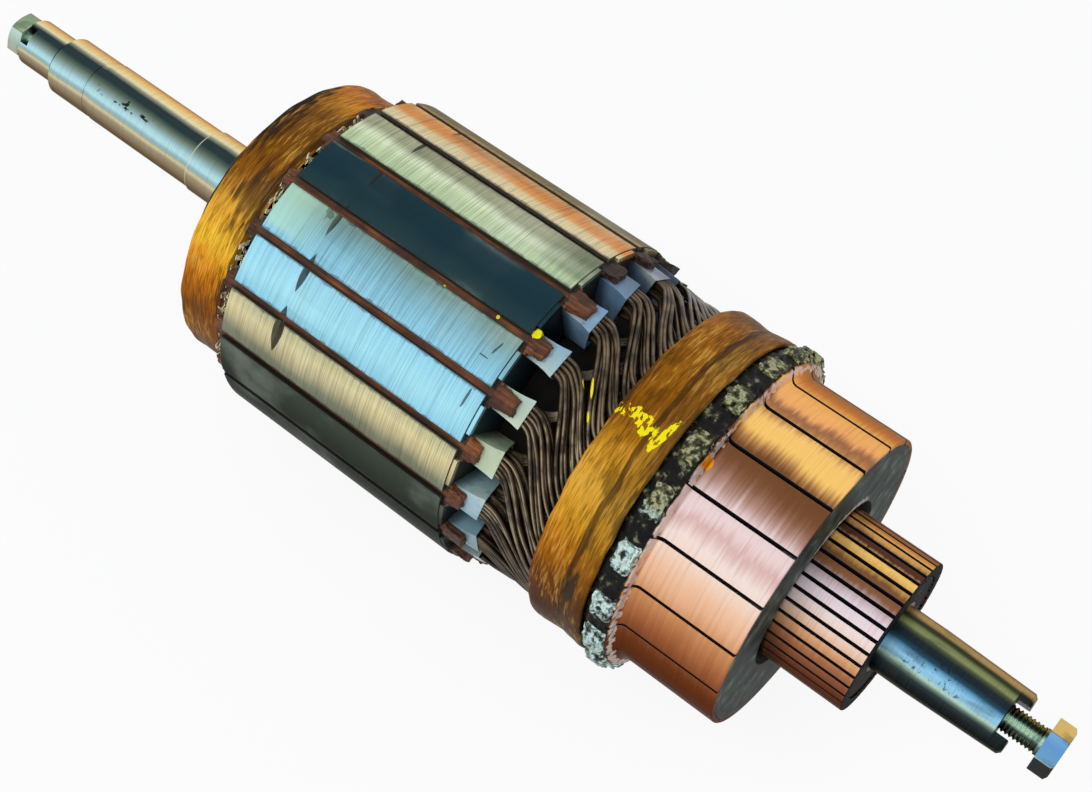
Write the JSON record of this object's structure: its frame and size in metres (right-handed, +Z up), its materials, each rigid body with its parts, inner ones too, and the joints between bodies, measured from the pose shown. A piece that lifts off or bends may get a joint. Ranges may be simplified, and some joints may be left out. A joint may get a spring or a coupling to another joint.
{
  "type": "generator armature",
  "caption": "Wound generator armature: slotted laminated core with banded winding heads on a long shaft, with a large and a small commutator side by side.",
  "frame": {"origin": "on the shaft's axis, in the middle of the drive-end bearing seat", "axes": "+X along the shaft to the commutator end, +Z up, the shaft held level"},
  "size_m": [0.4858, 0.1312, 0.1314],
  "materials": {
    "shaft_steel": "bright turned steel",
    "bolt_zinc": "zinc plated, tinted yellow and blue",
    "core_steel": "turned stack of laminations, blued and browned",
    "liner_film": "glossy pale blue film",
    "wedge_fibre": "red-brown fibre strip",
    "wire_enamel": "olive-brown enamelled copper wire",
    "band_resin": "glass tape in amber resin",
    "bar_copper": "brushed copper",
    "solder": "dull solder",
    "large_moulding": "grey-green moulding resin",
    "small_moulding": "green-black moulding resin"
  },
  "bodies": {
    "root": {"shaft": "shaft_steel", "drive_end_bolt": "bolt_zinc", "commutator_end_bolt": "bolt_zinc", "core_laminations": "core_steel", "rear_end_plate": "core_steel", "front_end_plate": "core_steel", "slot_liners": "liner_film", "slot_wedges": "wedge_fibre", "rear_end_turns": "wire_enamel", "rear_band": "band_resin", "front_band": "band_resin", "large_commutator_body": "large_moulding", "solder_joints": "solder", "small_commutator_bars": "bar_copper", "small_commutator_body": "small_moulding", "small_commutator_leads": "wire_enamel", "winding_bundle_01": "wire_enamel", "large_bar_01": "bar_copper", "winding_bundle_02": "wire_enamel", "large_bar_02": "bar_copper", "winding_bundle_03": "wire_enamel", "large_bar_03": "bar_copper", "winding_bundle_04": "wire_enamel", "large_bar_04": "bar_copper", "winding_bundle_05": "wire_enamel", "large_bar_05": "bar_copper", "winding_bundle_06": "wire_enamel", "large_bar_06": "bar_copper", "winding_bundle_07": "wire_enamel", "large_bar_07": "bar_copper", "winding_bundle_08": "wire_enamel", "large_bar_08": "bar_copper", "winding_bundle_09": "wire_enamel", "large_bar_09": "bar_copper", "winding_bundle_10": "wire_enamel", "large_bar_10": "bar_copper", "winding_bundle_11": "wire_enamel", "large_bar_11": "bar_copper", "winding_bundle_12": "wire_enamel", "large_bar_12": "bar_copper", "winding_bundle_13": "wire_enamel", "large_bar_13": "bar_copper", "winding_bundle_14": "wire_enamel", "large_bar_14": "bar_copper", "winding_bundle_15": "wire_enamel", "large_bar_15": "bar_copper", "winding_bundle_16": "wire_enamel", "large_bar_16": "bar_copper", "winding_bundle_17": "wire_enamel", "large_bar_17": "bar_copper", "winding_bundle_18": "wire_enamel", "large_bar_18": "bar_copper", "winding_bundle_19": "wire_enamel", "large_bar_19": "bar_copper"}
  },
  "joints": []
}
